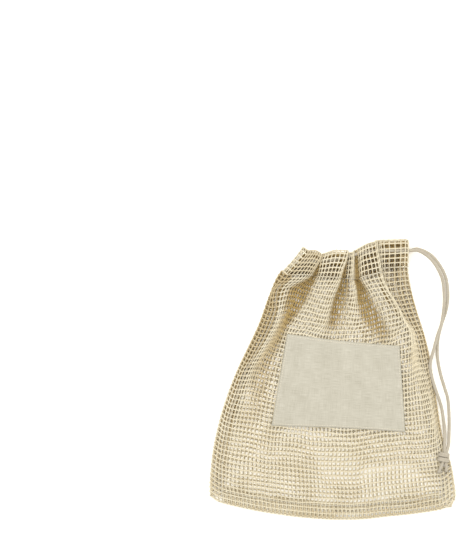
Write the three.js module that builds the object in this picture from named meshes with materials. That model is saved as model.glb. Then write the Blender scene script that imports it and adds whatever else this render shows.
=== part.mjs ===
// A cotton mesh produce bag lying flat on its back: two net panels sewn round three sides, a hem
// casing along the mouth of each panel, a muslin label patch on the front, and one drawcord whose
// two ends leave the casings at the right and are tied together in a knot.
// Millimetres. +X across the bag, +Y towards the mouth, +Z up from the surface it lies on.
import * as THREE from 'three';

// ---- Driving dimensions ---------------------------------------------------------------------
const CLOTH = 1.2;                 // thickness of one layer of net
const GAP = 0.3;                   // clearance kept between neighbouring pieces
const ROWS = 20;                   // rows of facets along the bag; a multiple of 4
const SEAM_FILL = 0.8;             // share of the mouth's height that the bunched seam fills
const SEAM_WIDTH = 12;             // width of the seam allowances inside the bag
const CAVITY_HEIGHT = 10.4;        // underside of the front panel over the middle of the bag
const SHELL_RISE = 34;             // how far in from a seam the front panel reaches its full height
const FOLD_HEIGHT = 2.4;           // height of the gather folds where the front meets its casing
const FOLD_START_Y = 20;           // where along the bag the folds begin
const FOLD_COUNT = 3.8;            // gather folds across the mouth
const FOLD_PHASE = 0.1;            // where the first fold's crest lies, as a share of the width
const CASING_HEIGHT = 5.6;         // outside height of a flattened hem casing
const CASING_WALL = 0.9;
const CASING_DEPTH = 27;           // from the stitching to the edge of the hem
const PUCKER = 2.8;                // how far the gathers stand above the front casing
const MOUTH_SEAM_WIDTH = 5;
const MOUTH_SEAM_SPAN = [0.04, 0.9]; // the part of the casing's depth that this seam fills
const MOUTH_GAP = 7.0;             // clear height between the two casings
const CORD_DIAMETER = 3.0;
const STUB_LENGTH = 40;            // cord inside a casing that slides out with the free strands
const CORD_STEPS = { strand: 34, held: 48, tail: 4 };
const LABEL_THICKNESS = 0.6;
const THREAD_WIDTH = 0.8;
const THREAD_HEIGHT = 0.5;
const THREAD_INSET = 2.0;          // from an edge to the stitching that holds it

// Half-outline of the gathered bag: [distance along the bag, x of that side edge], bottom to mouth.
const LEFT_EDGE = [
  [-140, -120.5], [-110, -122.3], [-71, -118.8], [-41, -112.3], [-14, -103.8], [8.6, -94.8],
  [28.6, -85.3], [52.6, -74], [84.6, -62.3], [104, -53.8], [114.6, -44.8],
];
const RIGHT_EDGE = [
  [-140, 121.5], [-124, 122.2], [-86, 117.2], [-58, 108.6], [-26, 103.2], [13.6, 97.2],
  [44.6, 90.2], [76.6, 80.2], [108.6, 73.2], [114.6, 72.8],
];
const BOTTOM_LEFT_Y = -120.4;
const BOTTOM_RIGHT_Y = -129.4;
const BOTTOM_BOW = 14.9;           // how far the bottom edge bellies out between its corners

// Hem casings: corners of the flattened band, in plan.
const CASING_LOWER_LEFT = new THREE.Vector2(-40, 112);
const CASING_LOWER_RIGHT = new THREE.Vector2(72.8, 112);
const CASING_UPPER_LEFT = new THREE.Vector2(-26, 131.6);
const CASING_UPPER_RIGHT = new THREE.Vector2(73.4, 139.8);
const TUNNEL_Y = 127.6;            // line of the cord inside the casings

// Label patch corners, in plan.
const LABEL_BOTTOM_LEFT = new THREE.Vector2(-60, -46);
const LABEL_BOTTOM_RIGHT = new THREE.Vector2(71.2, -52.4);
const LABEL_TOP_LEFT = new THREE.Vector2(-44.1, 43.6);
const LABEL_TOP_RIGHT = new THREE.Vector2(66.2, 31.6);

// Free strands of the drawcord, from the casing's right end to the knot.
const FRONT_STRAND_ROUTE = [
  [85.2, 127.2, 14], [98.2, 118.1, 9], [108.3, 102, 3.6], [111, 86, 2.6], [110.5, 71.5, 4.5],
  [108.2, 55.6, 5.3], [104.2, 43.6, 5.2], [99.9, 28, 5.6], [96.6, 15.2, 6.0], [98, 2.6, 6.0],
  [101.9, -10.4, 6.0], [106, -21.4, 4.4], [109.2, -33, 2.4], [111.3, -52.4, 3.4], [110.8, -66, 7.2],
];
const REAR_STRAND_ROUTE = [
  [86, 129.4, 1.7], [100.2, 121.6, 1.6], [111.6, 104.2, 1.6], [114.8, 86, 1.6], [113.4, 70, 1.6],
  [108.8, 55.2, 1.6], [105.4, 42, 1.6], [104.2, 28, 1.6], [105.2, 16, 1.6], [107.8, 3.6, 1.6],
  [111.7, -9.4, 1.6], [115, -21.4, 1.6], [116.2, -42, 1.6], [115.8, -56, 2.6], [115.2, -66, 5.6],
];
const KNOT_CENTRE = new THREE.Vector3(110.4, -78.2, 9.4);
const KNOT_RADII = new THREE.Vector3(6.2, 7.6, 4.4);
const TAIL_ROUTES = {
  drawcord_tail_front: [[107, -87.4, 9.6], [105, -93.4, 7.8], [103.4, -97.6, 6.6]],
  drawcord_tail_rear: [[112, -87.6, 8.6], [112.4, -93, 7], [111.6, -96.6, 6.2]],
};

// ---- Shape of the cloth ---------------------------------------------------------------------
const ramp = (x, from, to) => THREE.MathUtils.smoothstep(x, from, to);
const mix = THREE.MathUtils.lerp;
const interpolantOf = (pairs) => new THREE.CubicInterpolant(
  pairs.map((pair) => pair[0]),
  pairs.map((pair) => pair[1]),
  1,
  new Float32Array(1),
);
const leftEdge = interpolantOf(LEFT_EDGE);
const rightEdge = interpolantOf(RIGHT_EDGE);
const leftX = (y) => leftEdge.evaluate(y)[0];
const rightX = (y) => rightEdge.evaluate(y)[0];
const bottomY = (u) => mix(BOTTOM_LEFT_Y, BOTTOM_RIGHT_Y, u) - BOTTOM_BOW * 4 * u * (1 - u);

const PANEL_TOP = CASING_LOWER_LEFT.y - GAP;
const SHOULDER_Y = 80;             // above this the bag rises towards its gathered mouth
const SHOULDER_ROW = 0.75;         // share of the rows of cloth that lie below the shoulder
const SEAM_TOP = CLOTH + GAP + 1;
const PANEL_EDGE_Z = SEAM_TOP + GAP;
const FRONT_CASING_Z = CASING_HEIGHT + MOUTH_GAP;
const FRONT_JOIN_Z = FRONT_CASING_Z + (CASING_HEIGHT - CLOTH) / 2 - FOLD_HEIGHT / 2;

// Height of row v between start and the casing. Rows above the shoulder are level, so that layers
// that lie on each other there have their folds in the same places.
function rowY(start, v) {
  return v < SHOULDER_ROW
    ? mix(start, SHOULDER_Y, v / SHOULDER_ROW)
    : mix(SHOULDER_Y, PANEL_TOP, (v - SHOULDER_ROW) / (1 - SHOULDER_ROW));
}

// A point of the panels: u across from the left edge, v up from the bottom edge.
function panelPoint(u, v) {
  const y = rowY(bottomY(u), v);
  return new THREE.Vector2(mix(leftX(y), rightX(y), u), y);
}

// Underside of the front panel: low round the seams, raised over the cavity, folded at the mouth.
function frontHeight(x, y) {
  const u = THREE.MathUtils.clamp((x - leftX(y)) / (rightX(y) - leftX(y)), 0, 1);
  const fromSide = Math.min(x - leftX(y), rightX(y) - x);
  const across = ramp(fromSide, SEAM_WIDTH + 2, SEAM_WIDTH + SHELL_RISE);
  const along = ramp(y - bottomY(u), SEAM_WIDTH + 2, SEAM_WIDTH + SHELL_RISE);
  const towardsMouth = ramp(y, SHOULDER_Y, PANEL_TOP);
  const edge = mix(PANEL_EDGE_Z, FRONT_JOIN_Z, towardsMouth);
  const middle = mix(CAVITY_HEIGHT, FRONT_JOIN_Z, towardsMouth);
  const wave = 1 + Math.cos(2 * Math.PI * FOLD_COUNT * (u - FOLD_PHASE));
  const fold = FOLD_HEIGHT * ramp(y, FOLD_START_Y, PANEL_TOP) * wave;
  return mix(edge, middle, across * along) + across * fold / 2;
}

// ---- Builders -------------------------------------------------------------------------------
const bag = new THREE.Group();

const netMaterial = () => new THREE.MeshStandardMaterial({ color: 0xe6dcc0, roughness: 0.95 });
const hemMaterial = () => new THREE.MeshStandardMaterial({ color: 0xd8cba8, roughness: 0.95 });
const muslinMaterial = () => new THREE.MeshStandardMaterial({ color: 0xdfdac8, roughness: 0.9 });
const threadMaterial = () => new THREE.MeshStandardMaterial({ color: 0xefe9d8, roughness: 0.85 });
const cordMaterial = () => new THREE.MeshStandardMaterial({ color: 0xcfc6b2, roughness: 0.9 });

function add(name, geometry, material) {
  const mesh = new THREE.Mesh(geometry, material);
  mesh.name = name;
  bag.add(mesh);
}

// Moves every vertex of a geometry to where place(vertex) says.
function warp(geometry, place) {
  const position = geometry.getAttribute('position');
  const vertex = new THREE.Vector3();
  for (let i = 0; i < position.count; i += 1) {
    const moved = place(vertex.fromBufferAttribute(position, i));
    position.setXYZ(i, moved.x, moved.y, moved.z);
  }
  geometry.computeVertexNormals();
  return geometry;
}

// A sheet over plan(u, v), from bottom(x, y) to top(x, y) in height.
function sheet(columns, rows, plan, bottom, top) {
  return warp(new THREE.BoxGeometry(1, 1, 1, columns, rows, 1), (p) => {
    const { x, y } = plan(p.x + 0.5, p.y + 0.5);
    return new THREE.Vector3(x, y, p.z < 0 ? bottom(x, y) : top(x, y));
  });
}

const level = (z) => () => z;
const onFront = (offset) => (x, y) => frontHeight(x, y) + CLOTH + offset;

// ---- Panels ---------------------------------------------------------------------------------
add('back_net_panel', sheet(8, ROWS, panelPoint, level(0), level(CLOTH)), netMaterial());
add(
  'front_net_panel',
  sheet(28, ROWS, panelPoint, frontHeight, (x, y) => frontHeight(x, y) + CLOTH),
  netMaterial(),
);

// ---- Seam allowances, folded inside between the panels ----------------------------------------
const seamFloor = level(CLOTH + GAP);
const seamRoof = (x, y) => mix(SEAM_TOP, frontHeight(x, y), SEAM_FILL * ramp(y, SHOULDER_Y, PANEL_TOP));

function sidePoint(side, inset, v) {
  const y = rowY(bottomY(side) + SEAM_WIDTH, v);
  const edge = side === 0 ? leftX(y) : rightX(y);
  return new THREE.Vector2(edge + (side === 0 ? inset : -inset), y);
}

add(
  'left_seam_allowance',
  sheet(1, ROWS, (u, v) => sidePoint(0, u * SEAM_WIDTH, v), seamFloor, seamRoof),
  hemMaterial(),
);
add(
  'right_seam_allowance',
  sheet(1, ROWS, (u, v) => sidePoint(1, (1 - u) * SEAM_WIDTH, v), seamFloor, seamRoof),
  hemMaterial(),
);
add(
  'bottom_seam_allowance',
  sheet(
    16,
    1,
    (u, v) => {
      const y = bottomY(u) + v * (SEAM_WIDTH - GAP);
      return new THREE.Vector2(mix(leftX(y), rightX(y), u), y);
    },
    seamFloor,
    level(SEAM_TOP),
  ),
  hemMaterial(),
);

// ---- Hem casing: one flattened tunnel for the drawcord, along the front, round the left side and
// ---- back along the rear --------------------------------------------------------------------
function stadium(Kind, width, height) {
  const shape = new Kind();
  const half = (width - height) / 2;
  shape.absarc(half, 0, height / 2, -Math.PI / 2, Math.PI / 2, false);
  shape.absarc(-half, 0, height / 2, Math.PI / 2, 1.5 * Math.PI, false);
  shape.closePath();
  return shape;
}

// The tunnel's section, swept so that place(depth, height, along) says where each point goes:
// depth from 0 at the stitching to 1 at the hem, height in millimetres from the tunnel's middle.
function tunnel(steps, place) {
  const section = stadium(THREE.Shape, CASING_DEPTH, CASING_HEIGHT);
  section.holes.push(stadium(THREE.Path, CASING_DEPTH - 2 * CASING_WALL, CASING_HEIGHT - 2 * CASING_WALL));
  const options = { depth: 1, steps, bevelEnabled: false, curveSegments: 3 };
  return warp(
    new THREE.ExtrudeGeometry(section, options),
    (p) => place(p.x / CASING_DEPTH + 0.5, p.y, p.z),
  );
}

// A straight stretch. Its outer skin is puckered by the gathers; the tunnel inside stays straight.
const straightCasing = (middle, pucker) => tunnel(20, (depth, height, along) => {
  const lower = CASING_LOWER_LEFT.clone().lerp(CASING_LOWER_RIGHT, along);
  const upper = CASING_UPPER_LEFT.clone().lerp(CASING_UPPER_RIGHT, along);
  const plan = lower.lerp(upper, depth);
  const onSkin = height > CASING_HEIGHT / 2 - CASING_WALL / 2;
  const wave = (1 + Math.cos(2 * Math.PI * FOLD_COUNT * (along - FOLD_PHASE))) / 2;
  return new THREE.Vector3(plan.x, plan.y, middle + height + (onSkin ? pucker * wave : 0));
});

// The left side, where the hem folds over from the front to the rear round the drawcord.
const endLine = CASING_UPPER_LEFT.clone().sub(CASING_LOWER_LEFT).normalize();
const outward = new THREE.Vector2(-endLine.y, endLine.x);
const FRONT_TUNNEL_Z = FRONT_CASING_Z + CASING_HEIGHT / 2;
const BACK_TUNNEL_Z = CASING_HEIGHT / 2;
const turnRadius = (FRONT_TUNNEL_Z - BACK_TUNNEL_Z) / 2;
const turnCentreZ = (FRONT_TUNNEL_Z + BACK_TUNNEL_Z) / 2;

// A point of the turn: start on the casing's end line, half a circle from the rear to the front.
function turnPoint(start, radius, half) {
  const angle = Math.PI * (half - 0.5);
  const plan = start.clone().addScaledVector(outward, GAP + radius * Math.cos(angle));
  return new THREE.Vector3(plan.x, plan.y, turnCentreZ + radius * Math.sin(angle));
}

const foldedCasing = tunnel(8, (depth, height, along) => turnPoint(
  CASING_LOWER_LEFT.clone().lerp(CASING_UPPER_LEFT, depth),
  turnRadius + height,
  along,
));

add('back_casing', straightCasing(BACK_TUNNEL_Z, 0), hemMaterial());
add('front_casing', straightCasing(FRONT_TUNNEL_Z, PUCKER), hemMaterial());
add('casing_left_fold', foldedCasing, hemMaterial());

// The right side seam goes on up between the casings, under the two holes that the cord leaves by.
add(
  'right_mouth_seam',
  sheet(
    1,
    1,
    (u, v) => {
      const along = CASING_LOWER_RIGHT.clone().lerp(CASING_UPPER_RIGHT, mix(...MOUTH_SEAM_SPAN, v));
      return new THREE.Vector2(along.x - MOUTH_SEAM_WIDTH * (1 - u), along.y);
    },
    level(CASING_HEIGHT + GAP),
    level(FRONT_CASING_Z - GAP),
  ),
  hemMaterial(),
);

// ---- Label patch ----------------------------------------------------------------------------
function labelPoint(u, v) {
  const bottom = LABEL_BOTTOM_LEFT.clone().lerp(LABEL_BOTTOM_RIGHT, u);
  const top = LABEL_TOP_LEFT.clone().lerp(LABEL_TOP_RIGHT, u);
  return bottom.lerp(top, v);
}

const labelTop = onFront(2 * GAP + LABEL_THICKNESS);
add('label_patch', sheet(12, 8, labelPoint, onFront(2 * GAP), labelTop), muslinMaterial());

// ---- Stitching ------------------------------------------------------------------------------
// A line of thread along path(t), lying just above the surface top(x, y).
function stitching(segments, path, top) {
  return sheet(
    segments,
    1,
    (t, side) => {
      const along = path(Math.min(t + 0.01, 1)).sub(path(Math.max(t - 0.01, 0))).normalize();
      return path(t).add(new THREE.Vector2(-along.y, along.x).multiplyScalar((side - 0.5) * THREAD_WIDTH));
    },
    (x, y) => top(x, y) + GAP,
    (x, y) => top(x, y) + GAP + THREAD_HEIGHT,
  );
}

// Label: one line along each side, stopping short of the corners so that the four stay apart.
const inU = THREAD_INSET / LABEL_BOTTOM_LEFT.distanceTo(LABEL_BOTTOM_RIGHT);
const inV = THREAD_INSET / LABEL_BOTTOM_LEFT.distanceTo(LABEL_TOP_LEFT);
const labelLines = {
  label_stitching_bottom: (t) => labelPoint(mix(2 * inU, 1 - 2 * inU, t), inV),
  label_stitching_top: (t) => labelPoint(mix(2 * inU, 1 - 2 * inU, t), 1 - inV),
  label_stitching_left: (t) => labelPoint(inU, mix(2 * inV, 1 - 2 * inV, t)),
  label_stitching_right: (t) => labelPoint(1 - inU, mix(2 * inV, 1 - 2 * inV, t)),
};
for (const [name, path] of Object.entries(labelLines)) {
  add(name, stitching(14, path, labelTop), threadMaterial());
}

// Side and bottom seams: one line each, through all the layers, showing on the front panel.
const SIDE_LINE_SPAN = [0.05, 0.95];
const BOTTOM_LINE_SPAN = [0.08, 0.92];
const frontTop = onFront(0);
const seamLine = (side) => (t) => sidePoint(side, SEAM_WIDTH - THREAD_INSET, mix(...SIDE_LINE_SPAN, t));
const bottomLine = (t) => {
  const u = mix(...BOTTOM_LINE_SPAN, t);
  const y = bottomY(u) + SEAM_WIDTH - 2 * THREAD_INSET;
  return new THREE.Vector2(mix(leftX(y), rightX(y), u), y);
};
add('left_seam_stitching', stitching(ROWS - 2, seamLine(0), frontTop), threadMaterial());
add('right_seam_stitching', stitching(ROWS - 2, seamLine(1), frontTop), threadMaterial());
add('bottom_seam_stitching', stitching(16, bottomLine, frontTop), threadMaterial());

// Casing stitching: on the panel just below each casing's lower edge.
const casingLine = (t) => new THREE.Vector2(
  mix(CASING_LOWER_LEFT.x + SEAM_WIDTH + 2, CASING_LOWER_RIGHT.x - SEAM_WIDTH - 2, t),
  PANEL_TOP - THREAD_WIDTH,
);
add('front_casing_stitching', stitching(26, casingLine, frontTop), threadMaterial());
add('back_casing_stitching', stitching(2, casingLine, level(CLOTH)), threadMaterial());

// ---- Drawcord -------------------------------------------------------------------------------
const cordSection = new THREE.Shape();
cordSection.absellipse(0, 0, CORD_DIAMETER / 2, CORD_DIAMETER / 2, 0, 2 * Math.PI, false);

function tube(points, steps) {
  const extrudePath = new THREE.CatmullRomCurve3(points.map((p) => new THREE.Vector3(...p)));
  return new THREE.ExtrudeGeometry(cordSection, {
    extrudePath, steps, curveSegments: 4, bevelEnabled: false,
  });
}

const MOUTH_RIGHT_X = CASING_UPPER_RIGHT.x;
const STUB_END_X = MOUTH_RIGHT_X - STUB_LENGTH;
const strand = (tunnelZ, route) => [
  [STUB_END_X, TUNNEL_Y, tunnelZ],
  [MOUTH_RIGHT_X - STUB_LENGTH / 2, TUNNEL_Y, tunnelZ],
  [MOUTH_RIGHT_X, TUNNEL_Y, tunnelZ],
  ...route,
];
const frontStrand = strand(FRONT_TUNNEL_Z, FRONT_STRAND_ROUTE);
const rearStrand = strand(BACK_TUNNEL_Z, REAR_STRAND_ROUTE);
add('drawcord_strand_front', tube(frontStrand, CORD_STEPS.strand), cordMaterial());
add('drawcord_strand_rear', tube(rearStrand, CORD_STEPS.strand), cordMaterial());

// The run held by the gathers: along the front casing, round the left fold and back along the rear.
const turnStart = CASING_LOWER_LEFT.clone().lerp(CASING_UPPER_LEFT, 0.5);
const heldSide = (tunnelZ) => [0, 0.33, 0.67, 0.92].map((t) => new THREE.Vector3(
  mix(STUB_END_X - GAP, turnStart.x, t),
  mix(TUNNEL_Y, turnStart.y, ramp(t, 0.1, 1)),
  tunnelZ,
));
const heldPoints = [
  ...heldSide(FRONT_TUNNEL_Z),
  ...[1, 0.75, 0.5, 0.25, 0].map((half) => turnPoint(turnStart, turnRadius, half)),
  ...heldSide(BACK_TUNNEL_Z).reverse(),
];
add('drawcord_held_run', tube(heldPoints.map((p) => p.toArray()), CORD_STEPS.held), cordMaterial());

const knot = new THREE.SphereGeometry(1, 14, 10);
knot.scale(KNOT_RADII.x, KNOT_RADII.y, KNOT_RADII.z);
knot.translate(KNOT_CENTRE.x, KNOT_CENTRE.y, KNOT_CENTRE.z);
add('drawcord_knot', knot, cordMaterial());
for (const [name, route] of Object.entries(TAIL_ROUTES)) {
  add(name, tube(route, CORD_STEPS.tail), cordMaterial());
}

export default bag;
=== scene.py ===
"""A cotton mesh produce bag lying on its back: the looks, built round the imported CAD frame.

Every net piece is real yarn: one tube for each column and each row of the mesh, laid on a surface
that is written in cloth coordinates (column, row). Metres, +X across, +Y to the mouth, +Z up.
"""
import math

import bpy
import numpy as np
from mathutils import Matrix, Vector


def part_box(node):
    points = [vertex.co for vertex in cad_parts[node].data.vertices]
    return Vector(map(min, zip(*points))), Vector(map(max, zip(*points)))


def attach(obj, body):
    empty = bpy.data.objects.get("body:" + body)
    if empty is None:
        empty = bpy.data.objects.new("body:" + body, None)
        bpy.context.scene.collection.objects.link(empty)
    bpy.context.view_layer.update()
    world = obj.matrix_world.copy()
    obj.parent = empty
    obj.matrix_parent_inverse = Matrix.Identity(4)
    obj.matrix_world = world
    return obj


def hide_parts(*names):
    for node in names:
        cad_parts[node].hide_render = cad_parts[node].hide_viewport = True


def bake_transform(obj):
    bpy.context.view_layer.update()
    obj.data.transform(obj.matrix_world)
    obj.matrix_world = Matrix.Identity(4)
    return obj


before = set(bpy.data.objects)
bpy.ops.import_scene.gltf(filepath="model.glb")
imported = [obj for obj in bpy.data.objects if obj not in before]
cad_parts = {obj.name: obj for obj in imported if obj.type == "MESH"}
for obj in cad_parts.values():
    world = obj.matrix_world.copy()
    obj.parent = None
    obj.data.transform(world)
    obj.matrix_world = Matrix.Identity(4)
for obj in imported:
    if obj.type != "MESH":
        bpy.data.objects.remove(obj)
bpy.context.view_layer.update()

MM = 0.001
rng = np.random.default_rng(12)

# ---- Driving dimensions -----------------------------------------------------------------------
COLUMNS = 62              # columns of holes across one panel
PANEL_ROWS = 51           # rows of holes from the bottom seam to the casing's stitching
CASING_ROWS = 12          # rows round the hem, from the stitching and back to it
COLUMN_PITCH = 4.0 * MM
ROW_PITCH = 4.7 * MM
STEPS = 3                 # rings of yarn for each hole
COLUMN_YARN = (1.8 * MM, 1.15 * MM)     # width and thickness of the pair of yarns in a column
ROW_YARN = (1.45 * MM, 1.0 * MM)
COLUMN_SIDES, ROW_SIDES = 6, 5          # sides of the yarns' sections
COLUMN_SWELL, ROW_SWELL = 0.14, 0.12    # how much a yarn swells at a crossing
COLUMN_UNEVEN, ROW_UNEVEN = 0.06, 0.08  # how much thicker or thinner one yarn is than another
YARN_LIFT = 0.12 * MM     # columns lie this much over the cloth's surface, and rows under it
SEAM_FLATTEN = 0.65       # yarns pressed flat in the seams
CORD_DIAMETER = 3.0 * MM
THREAD = 0.55 * MM
STITCH = 2.6 * MM

# ---- Camera, floor and light -------------------------------------------------------------------
VIEW_CENTRE = Vector((-0.1028, 0.0986, 0.0))   # the middle of the picture, on the floor
FIELD_HEIGHT = 0.560
SENSOR = 36.0
LENS = 100.0
FLOOR_SIZE = 40.0

scene = bpy.context.scene
camera_data = bpy.data.cameras.new("camera")
camera_data.sensor_width = SENSOR
camera_data.lens = LENS
camera = bpy.data.objects.new("camera", camera_data)
camera.location = VIEW_CENTRE + Vector((0, 0, FIELD_HEIGHT * LENS / SENSOR))
scene.collection.objects.link(camera)
scene.camera = camera
scene.view_settings.view_transform = "Standard"


def fill_in(node, values):
    """Sets a node's sockets to the values, by the sockets' names."""
    for socket, value in values.items():
        node.inputs[socket].default_value = value


def node_material(name):
    """A new node material: (material, its node tree, its Principled shader)."""
    material = bpy.data.materials.new(name)
    material.use_nodes = True
    return material, material.node_tree, material.node_tree.nodes["Principled BSDF"]


def area_light(name, location, size, energy):
    """A round soft light that shines at the origin."""
    data = bpy.data.lights.new(name, "AREA")
    data.shape = "DISK"
    data.size = size
    data.energy = energy
    light = bpy.data.objects.new(name, data)
    light.location = location
    light.rotation_euler = (-Vector(location)).to_track_quat("-Z", "Y").to_euler()
    scene.collection.objects.link(light)


bpy.ops.mesh.primitive_plane_add(size=FLOOR_SIZE, location=(0, 0, 0))
floor = bpy.context.object
floor.name = "floor"
floor_material, _, floor_shader = node_material("floor")
fill_in(floor_shader, {
    "Base Color": (0.94, 0.93, 0.89, 1), "Roughness": 1.0, "Specular IOR Level": 0.0,
    "Emission Color": (1, 0.975, 0.92, 1), "Emission Strength": 0.32,
})
floor.data.materials.append(floor_material)

world = bpy.data.worlds.new("studio")
world.use_nodes = True
fill_in(world.node_tree.nodes["Background"], {"Color": (1, 0.955, 0.885, 1), "Strength": 0.76})
scene.world = world
area_light("key", (-0.6, 0.7, 1.7), 1.4, 16.5)
area_light("fill", (0.9, 0.1, 1.5), 1.4, 9)

# ---- Small maths -------------------------------------------------------------------------------


def ramp(x, low, high):
    """0 below low, 1 above high, smooth between."""
    t = np.clip((x - low) / (high - low), 0, 1)
    return t * t * (3 - 2 * t)


def pchip(x, knots, values):
    """Shape-preserving cubic through (knots, values) at x; values may have leading axes."""
    values = np.asarray(values, float)
    knots = np.asarray(knots, float)
    step = np.diff(knots)
    slope = np.diff(values, axis=-1) / step
    left, right = slope[..., :-1], slope[..., 1:]
    w1 = 2 * step[1:] + step[:-1]
    w2 = step[1:] + 2 * step[:-1]
    same = left * right > 0
    safe = np.where(same, left, 1.0), np.where(same, right, 1.0)
    inner = np.where(same, (w1 + w2) / (w1 / safe[0] + w2 / safe[1]), 0.0)
    tangent = np.concatenate([slope[..., :1], inner, slope[..., -1:]], -1)
    k = np.clip(np.searchsorted(knots, x, side="right") - 1, 0, len(knots) - 2)
    t = (x - knots[k]) / step[k]
    return (
        values[..., k] * (2 * t**3 - 3 * t**2 + 1)
        + values[..., k + 1] * (3 * t**2 - 2 * t**3)
        + step[k] * (tangent[..., k] * (t**3 - 2 * t**2 + t) + tangent[..., k + 1] * (t**3 - t**2))
    )


def distances(line):
    """How far along the line (m, 3) each of its points is."""
    return np.concatenate([[0], np.cumsum(np.linalg.norm(np.diff(line, axis=0), axis=1))])


def resampled(line, along, at):
    """Points of the line (m, 3) at the distances given, where along is its distances."""
    return np.stack([np.interp(at, along, line[:, k]) for k in range(3)], -1)


def catmull(points, count):
    """A smooth curve through the points, as count points evenly spaced along it."""
    p = np.asarray(points, float)
    p = np.concatenate([2 * p[:1] - p[1:2], p, 2 * p[-1:] - p[-2:-1]])
    t = np.linspace(0, 1, 24, endpoint=False)[:, None]
    dense = []
    for a, b, c, d in zip(p[:-3], p[1:-2], p[2:-1], p[3:]):
        dense.append(0.5 * (2 * b + (c - a) * t + (2 * a - 5 * b + 4 * c - d) * t**2
                            + (3 * b - a - 3 * c + d) * t**3))
    dense = np.concatenate([*dense, p[-2:-1]])
    along = distances(dense)
    return resampled(dense, along, np.linspace(0, along[-1], count))


def unit(v):
    return v / np.maximum(np.linalg.norm(v, axis=-1, keepdims=True), 1e-12)


def smooth_noise(shape, cells, amplitude):
    """Deterministic noise over a grid: values at every few cells, smoothly joined."""
    rows, cols = (int(n / cells) + 3 for n in shape)
    coarse = rng.uniform(-1, 1, (rows, cols))
    r = np.linspace(0, rows - 1.001, shape[0])
    c = np.linspace(0, cols - 1.001, shape[1])
    across = pchip(c, np.arange(cols), coarse)
    return amplitude * pchip(r, np.arange(rows), across.T).T


# ---- Mesh building -----------------------------------------------------------------------------


def make_object(name, vertices, faces, material, uv, painted_shade=None):
    """A smooth piece with its yarn coordinates and, on a net, each point's painted shade, which goes
    by how far within the cloth it lies.
    """
    mesh = bpy.data.meshes.new(name)
    mesh.from_pydata(vertices.tolist(), [], faces)
    corner = np.empty(len(mesh.loops), np.int32)
    mesh.loops.foreach_get("vertex_index", corner)
    layer = mesh.uv_layers.new(name="yarn")
    layer.data.foreach_set("uv", uv[corner].astype(np.float32).ravel())
    if painted_shade is not None:
        values = mesh.attributes.new("painted_shade", "FLOAT", "POINT")
        values.data.foreach_set("value", painted_shade.astype(np.float32))
    mesh.polygons.foreach_set("use_smooth", np.ones(len(mesh.polygons), bool))
    mesh.materials.append(material)
    mesh.update()
    piece = bpy.data.objects.new(name, mesh)
    scene.collection.objects.link(piece)
    return piece


def tubes(paths, normals, width, height, sides, twist=0.0):
    """Tubes along paths (n, rings, 3): vertices, faces and yarn coordinates (round, along in mm).

    width and height may vary along each path. twist is the turn of the section from ring to ring.
    """
    n, rings, _ = paths.shape
    tangent = unit(np.gradient(paths, axis=1))
    side = unit(np.cross(tangent, normals))
    up = np.cross(side, tangent)
    turn = twist * np.arange(rings)[None, :, None]
    angle = 2 * math.pi * np.arange(sides)[None, None, :] / sides
    half_w = np.broadcast_to(np.asarray(width, float) / 2, (n, rings))[..., None]
    half_h = np.broadcast_to(np.asarray(height, float) / 2, (n, rings))[..., None]
    px = half_w * np.cos(angle)
    py = half_h * np.sin(angle)
    qx = px * np.cos(turn) - py * np.sin(turn)
    qy = px * np.sin(turn) + py * np.cos(turn)
    vertices = (
        paths[:, :, None, :] + qx[..., None] * side[:, :, None, :] + qy[..., None] * up[:, :, None, :]
    )
    length = np.concatenate(
        [np.zeros((n, 1)), np.cumsum(np.linalg.norm(np.diff(paths, axis=1), axis=2), 1)], 1
    ) / MM
    uv = np.stack(np.broadcast_arrays(
        np.arange(sides)[None, None, :] / sides, length[..., None]), -1)
    index = np.arange(n * rings * sides).reshape(n, rings, sides)
    following = np.roll(index, -1, 2)
    faces = np.stack([index[:, :-1], following[:, :-1], following[:, 1:], index[:, 1:]], -1)
    faces = faces.reshape(-1, 4).tolist()
    faces += index[:, 0, ::-1].reshape(n, sides).tolist()
    faces += index[:, -1, :].reshape(n, sides).tolist()
    return vertices.reshape(-1, 3), faces, uv.reshape(-1, 2)


def upright(paths):
    """Normals straight up, for tubes along the paths."""
    return np.broadcast_to(np.array([0.0, 0.0, 1.0]), paths.shape)


def joined(parts):
    """Several (vertices, faces, uv) as one."""
    vertices, faces, uvs, base = [], [], [], 0
    for v, f, uv in parts:
        vertices.append(v)
        faces += [[base + k for k in face] for face in f]
        uvs.append(uv)
        base += len(v)
    return np.concatenate(vertices), faces, np.concatenate(uvs)


def surface_normals(grid):
    return unit(np.cross(np.gradient(grid, axis=0), np.gradient(grid, axis=1)))


def fold_shade(grid, reach=8, low=2.4, high=9.0):
    """Painted shade for the folds: 0 on the ridges of the cloth, up to 1 down in the folds between
    them.

    It goes by how far a point lies under the highest one within reach columns, from low to high mm.
    """
    z = grid[..., 2]
    steps = reach * STEPS
    padded = np.pad(z, ((steps, steps), (0, 0)), mode="edge")
    crest = np.max([padded[k:k + len(z)] for k in range(0, 2 * steps + 1, STEPS)], axis=0)
    return ramp(crest - z, low * MM, high * MM)


def yarn_sizes(paths, swell, uneven):
    """A factor for each path's thickness, and one for each ring of it: (uneven, knots)."""
    knots = 1 + swell * (np.arange(paths.shape[1]) % STEPS == 0)
    return 1 + rng.uniform(-uneven, uneven, (len(paths), 1)), knots


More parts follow.
